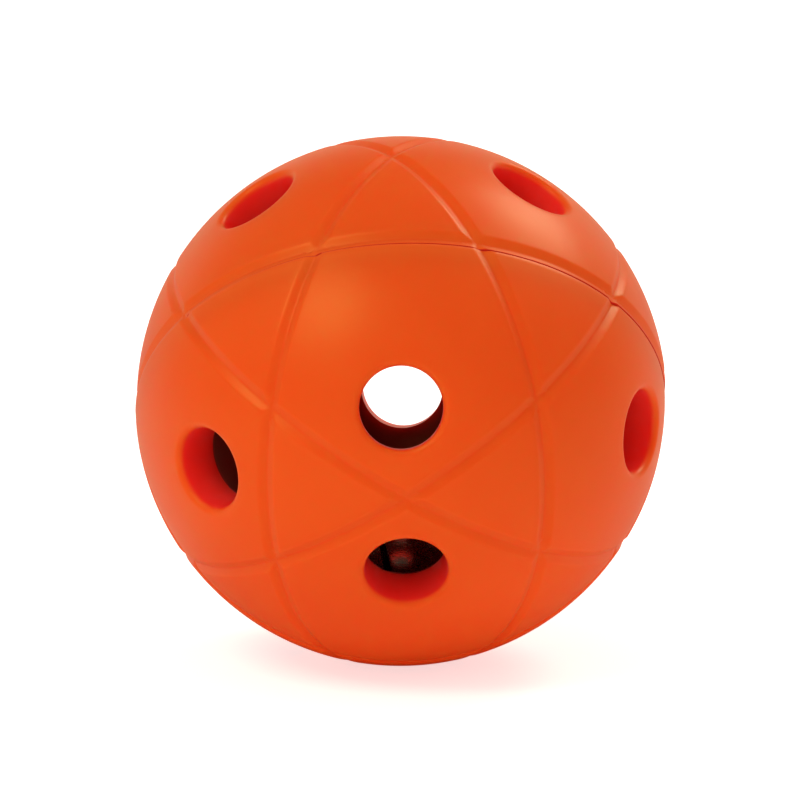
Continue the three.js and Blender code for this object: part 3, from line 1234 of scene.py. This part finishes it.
    def build(self, recipes: dict[str, Recipe], finishes: dict[Slot, bpy.types.Material]) -> None:
        """Builds the bell's four pieces and puts them in the scene.

        Args:
            recipes: The recipes by name.
            finishes: The material of each slot.
        """
        plate = finishes[Slot.PLATE]
        for part, mesh in (("crown", self.crown()), ("skirt", self.skirt())):
            mesh.materials.append(plate)
            self.finish(f"{self.name}_{part}", mesh)
        self.finish(f"{self.name}_loop", self.loop(recipes["wire"], finishes[Slot.WIRE]))
        pellet = self.pellet(recipes["tumble"], finishes[Slot.PELLET])
        pellet.shade_smooth()
        show(f"{self.name}_pellet", pellet, f"{self.name}_pellet")

    def finish(self, node: str, mesh: bpy.types.Mesh) -> None:
        """Smooths a piece, lays it where the bell lies and puts it in the scene.

        Args:
            node: The construction's node that it stands for.
            mesh: The piece in the bell's own frame.
        """
        mesh.transform(self.seated())
        mesh.shade_smooth()
        mesh.set_sharp_from_angle(angle=math.radians(self.sharp_angle))
        show(node, mesh, self.name)


def repeat_recipe() -> Recipe:
    """Builds the recipe that repeats a pattern piece over points, each with its own turn.

    Returns:
        The recipe.
    """
    recipe = Recipe("repeat_pattern")
    pattern = recipe.node("GeometryNodeObjectInfo", {"Object": recipe.size("Pattern", "NodeSocketObject")})
    turn = recipe.node("GeometryNodeInputNamedAttribute", {"Name": "turn"}, data_type="FLOAT_VECTOR")
    rotation = recipe.node("FunctionNodeEulerToRotation", {"Euler": turn.outputs["Attribute"]})
    seats = recipe.node("GeometryNodeMeshToPoints", {"Mesh": recipe.given.outputs["Geometry"]})
    repeated = recipe.node("GeometryNodeInstanceOnPoints", {
        "Points": seats.outputs[0], "Instance": pattern.outputs["Geometry"], "Rotation": rotation.outputs[0]})
    recipe.close(repeated.outputs[0])
    return recipe


def press_recipe(normals: list[Vector]) -> Recipe:
    """Builds the recipe that presses the grooves into the ball and leaves the holes' inner edges ragged.

    A groove's depth at a point follows from the point's distance to the nearest groove plane: a V whose
    valley and lips are rounded. It fades out below the surface, so that the bores and the inside stay true.

    Args:
        normals: The normals of the groove planes, the pole's first.

    Returns:
        The recipe.
    """
    recipe = Recipe("press_grooves")
    known = {name: recipe.size(name) for name in (
        "Depth", "Half Width", "Valley", "Lip", "Ball Radius", "Fade", "Rise", "Twist", "Burr", "Burr Length",
        "Seed", "Clear Radius",
    )}
    place = recipe.node("GeometryNodeInputPosition").outputs[0]
    known["length"] = recipe.node("ShaderNodeVectorMath", {0: place}, operation="LENGTH").outputs["Value"]
    back = recipe.node("ShaderNodeMath", {0: known["Twist"], 1: -1.0}, operation="MULTIPLY")
    untwisted = recipe.node("ShaderNodeVectorRotate", {
        "Vector": place, "Angle": back.outputs[0]}, rotation_type="Z_AXIS").outputs[0]
    height = recipe.node("ShaderNodeSeparateXYZ", {0: place}).outputs["Z"]
    above = recipe.node("ShaderNodeMath", {0: height, 1: known["Rise"]}, operation="SUBTRACT")
    nearest = recipe.node("ShaderNodeMath", {0: above.outputs[0]}, operation="ABSOLUTE").outputs[0]
    for normal in normals[1:]:
        across = recipe.node("ShaderNodeVectorMath", {0: untwisted, 1: normal}, operation="DOT_PRODUCT")
        beside = recipe.node("ShaderNodeMath", {0: across.outputs["Value"]}, operation="ABSOLUTE")
        nearest = recipe.node("ShaderNodeMath", {
            0: nearest, 1: beside.outputs[0]}, operation="MINIMUM").outputs[0]
    known["nearest"] = nearest
    under = recipe.node("ShaderNodeMath", {0: known["Ball Radius"], 1: known["length"]}, operation="SUBTRACT")
    known["shallow"] = recipe.node("ShaderNodeMapRange", {
        "Value": under.outputs[0], "From Min": 0.0, "From Max": known["Fade"],
        "To Min": 1.0, "To Max": 0.0}).outputs["Result"]
    known["noise"] = recipe.node("ShaderNodeTexNoise", {
        "Vector": place, "W": known["Seed"], "Scale": known["Burr Length"], "Detail": 3.0},
        noise_dimensions="4D").outputs[0]
    known["mouth"] = recipe.node(
        "GeometryNodeInputNamedAttribute", {"Name": "ragged"}, data_type="FLOAT").outputs["Attribute"]
    for name, operation, *terms in (
        ("nearest squared", "MULTIPLY", "nearest", "nearest"),
        ("valley squared", "MULTIPLY", "Valley", "Valley"),
        ("both squared", "ADD", "nearest squared", "valley squared"),
        ("rounded", "SQRT", "both squared"),
        ("up from valley", "SUBTRACT", "rounded", "Valley"),
        ("way up", "DIVIDE", "up from valley", "Half Width"),
        ("share", "SUBTRACT", 1.0, "way up"),
        ("section", "SMOOTH_MAX", "share", 0.0, "Lip"),
        ("whole press", "MULTIPLY", "section", "Depth"),
        ("press", "MULTIPLY", "whole press", "shallow"),
        ("unevenness", "MULTIPLY_ADD", "noise", *BURR_SPREAD),
        ("burrs", "MULTIPLY", "unevenness", "Burr"),
        ("mouth burrs", "MULTIPLY", "burrs", "mouth"),
        ("room", "SUBTRACT", "length", "Clear Radius"),
        ("torn", "MINIMUM", "mouth burrs", "room"),
        ("inward", "ADD", "press", "torn"),
        ("outward", "MULTIPLY", "inward", -1.0),
    ):
        inputs = {number: known.get(term, term) for number, term in enumerate(terms)}
        known[name] = recipe.node("ShaderNodeMath", inputs, operation=operation).outputs[0]
    recipe.push_out(known["outward"])
    return recipe


def wire_recipe() -> Recipe:
    """Builds the recipe that bends a round wire along a line, its corners rounded and its ends closed.

    Returns:
        The recipe.
    """
    recipe = Recipe("bend_wire")
    radius, bend = recipe.size("Wire Radius"), recipe.size("Bend Radius")
    sides = recipe.size("Sides", "NodeSocketInt")
    line = recipe.node("GeometryNodeMeshToCurve", {"Mesh": recipe.given.outputs["Geometry"]})
    bent = recipe.node("GeometryNodeFilletCurve", {
        "Curve": line.outputs[0], "Radius": bend, "Count": 5, "Limit Radius": True}, mode="POLY")
    section = recipe.node("GeometryNodeCurvePrimitiveCircle", {"Radius": radius, "Resolution": sides})
    tube = recipe.node("GeometryNodeCurveToMesh", {
        "Curve": bent.outputs[0], "Profile Curve": section.outputs["Curve"], "Fill Caps": True})
    recipe.close(tube.outputs[0])
    return recipe


def tumble_recipe() -> Recipe:
    """Builds the recipe that leaves a shape as uneven as tumbling does.

    Returns:
        The recipe.
    """
    recipe = Recipe("tumble")
    uneven, dent, seed = recipe.size("Uneven"), recipe.size("Dent Size"), recipe.size("Seed")
    place = recipe.node("GeometryNodeInputPosition").outputs[0]
    noise = recipe.node("ShaderNodeTexNoise", {
        "Vector": place, "W": seed, "Scale": dent, "Detail": 2.0}, noise_dimensions="4D").outputs[0]
    inward = recipe.node("ShaderNodeMath", {0: uneven, 1: -1.0}, operation="MULTIPLY")
    depth = recipe.node("ShaderNodeMath", {0: noise, 1: inward.outputs[0]}, operation="MULTIPLY")
    recipe.push_out(depth.outputs[0])
    return recipe


@dataclass(frozen=True)
class SoftBox:
    """A square soft box that faces the ball. Lengths are metres, and power is watts."""

    name: str
    place: tuple[float, float, float]
    side: float
    power: float
    colour: str = "#F8FFEC"

    def hang(self) -> None:
        """Hangs the soft box in the scene."""
        light = bpy.data.lights.new(self.name, "AREA")
        light.shape = "SQUARE"
        light.size = self.side
        light.energy = self.power
        light.color = linear(self.colour)[:3]
        lamp = placed(self.name, light)
        lamp.location = self.place
        lamp.rotation_euler = (-Vector(self.place)).to_track_quat("-Z", "Y").to_euler()


@dataclass
class Studio:
    """The white table, the soft boxes and the camera. Lengths are metres here."""

    ball_radius: float
    elevation: float = 12.0
    distance: float = 4.8
    picture_side: int = 800
    outline_radius: float = 265.0  # of the ball, in the photograph's pixels
    below_middle: float = 1.0  # of the photograph, where the ball's centre lies, in its pixels
    sensor: float = 36.0
    floor_radius: float = 4.0
    floor_points: int = 96
    soft_boxes: tuple[SoftBox, ...] = (
        SoftBox("left_soft_box", (-0.95, -0.95, 1.45), 0.8, 12.5),
        SoftBox("right_soft_box", (0.85, 0.8, 1.05), 0.6, 7.5),
    )
    sky: float = 0.6
    room_colour: str = "#FFE3DB"
    mirrored_colour: str = "#FFEBCB"
    seen_colour: str = "#FFFFFF"
    dark_side: float = 0.1
    bright_side: float = 0.8
    behind_edge: tuple[float, float] = (0.2, 0.9)  # where the bright side starts and is full, towards +Y
    low_edge: tuple[float, float] = (0.65, 0.15)  # and the same towards the floor

    def build(self) -> None:
        """Puts the floor, the lights, the surroundings and the camera in the scene."""
        self.floor()
        for box in self.soft_boxes:
            box.hang()
        self.surroundings()
        self.camera()

    def floor(self) -> None:
        """Lays the white paper that the ball stands on."""
        form = bmesh.new()
        bmesh.ops.create_circle(
            form, cap_ends=True, segments=self.floor_points, radius=self.floor_radius)
        mesh = bpy.data.meshes.new("paper_floor")
        form.to_mesh(mesh)
        form.free()
        mesh.transform(Matrix.Translation((0, 0, -self.ball_radius)))
        mesh.materials.append(PaperSweep().build())
        placed("paper_floor", mesh)

    def surroundings(self) -> None:
        """Fills the room with even light, and shows it white to the camera and in reflections."""
        world = bpy.data.worlds.new("white_room")
        bpy.context.scene.world = world
        world.use_nodes = True
        tree = world.node_tree
        tree.nodes.clear()
        seen = add(tree, "ShaderNodeLightPath").outputs
        heading = add(tree, "ShaderNodeTexCoord").outputs["Generated"]
        parts = add(tree, "ShaderNodeSeparateXYZ", {0: heading}).outputs
        shares = []
        for axis, (start, end) in (("Y", self.behind_edge), ("Z", self.low_edge)):
            ramp = add(tree, "ShaderNodeMapRange", {
                "Value": parts[axis], "From Min": start, "From Max": end}, interpolation_type="SMOOTHSTEP")
            shares.append(ramp.outputs["Result"])
        paper = add(tree, "ShaderNodeMath", dict(enumerate(shares)), operation="MULTIPLY")
        backdrop = add(tree, "ShaderNodeMapRange", {
            "Value": paper.outputs[0], "To Min": self.dark_side, "To Max": self.bright_side})
        soft = add(tree, "ShaderNodeMix", {
            "Factor": seen["Is Diffuse Ray"], "A": backdrop.outputs["Result"], "B": self.sky})
        strength = add(tree, "ShaderNodeMix", {
            "Factor": seen["Is Camera Ray"], "A": soft.outputs["Result"], "B": 1.0})
        tones = {n: linear(getattr(self, n)) for n in ("room_colour", "mirrored_colour", "seen_colour")}
        for name, ray, under, over in (
            ("unseen", "Is Diffuse Ray", "mirrored_colour", "room_colour"),
            ("shown", "Is Camera Ray", "unseen", "seen_colour"),
        ):
            tones[name] = add(tree, "ShaderNodeMix", {
                "Factor": seen[ray], "A": tones[under], "B": tones[over]}, data_type="RGBA").outputs["Result"]
        light = add(tree, "ShaderNodeBackground", {
            "Color": tones["shown"], "Strength": strength.outputs["Result"]})
        add(tree, "ShaderNodeOutputWorld", {"Surface": light.outputs[0]})

    def camera(self) -> None:
        """Sets the camera where the photographer stood, a long way off and a little above."""
        lens = bpy.data.cameras.new("long_lens")
        lens.sensor_width = self.sensor
        outline = math.tan(math.asin(self.ball_radius / self.distance))
        lens.lens = self.outline_radius / (self.picture_side / 2) * self.sensor / 2 / outline
        lens.shift_y = self.below_middle / self.picture_side
        camera = placed("long_lens", lens)
        e = math.radians(self.elevation)
        back = Vector((0, -math.cos(e), math.sin(e)))
        camera.location = back * self.distance
        camera.rotation_euler = (-back).to_track_quat("-Z", "Y").to_euler()
        bpy.context.scene.camera = camera


def clear_scene() -> None:
    """Empties the scene that Blender starts with."""
    for thing in list(bpy.data.objects):
        bpy.data.objects.remove(thing)


def main() -> None:
    """Builds the ball, the bells and the studio round the construction frame."""
    logging.basicConfig(level=logging.INFO, format="%(name)s: %(message)s")
    clear_scene()
    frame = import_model()
    bpy.context.scene.view_settings.view_transform = "Standard"
    reach = np.array([v.co.length for v in frame["nodes"]["lower_shell"].data.vertices])
    # The lining's corners lie on its sphere, and all its other points a little nearer.
    lining = reach[reach < (reach.min() + reach.max()) / 2].max()
    ball = Ball(radius=round(reach.max() / MM, 2), wall=round((reach.max() - lining) / MM, 1))
    LOG.info("ball radius %.2f mm, wall %.1f mm", ball.radius, ball.wall)
    seated = ball.seated()
    pole, offset = seated @ Vector((0, 0, 1)), seated @ Vector((*ball.upper_offset, 0))
    finishes = {
        Slot.VINYL: SoftVinyl(pole, ball.seam, offset).build(),
        Slot.PLATE: PlatedSheet().build(),
        Slot.WIRE: PlatedSheet(colour="#8C847D", roughness=0.3, cloud_size=3.0).build("plated_wire"),
        Slot.PELLET: PlatedSheet(colour="#8C8782", tarnish="#5E5751", roughness=0.2).build("tumbled_steel"),
    }
    recipes = {
        "repeat": repeat_recipe(), "press": press_recipe(ball.groove_normals()),
        "wire": wire_recipe(), "tumble": tumble_recipe(),
    }
    ball.build(recipes, finishes)
    joints = {joint["name"]: joint for joint in frame["joints"]}
    for berth in Berth:
        centre = Vector(joints[f"{berth.name.lower()}_bell_pellet_roll"]["pos_m"])
        JingleBell(berth, centre).build(recipes, finishes)
    Studio(ball.radius * MM).build()


if __name__ == "__main__":
    main()
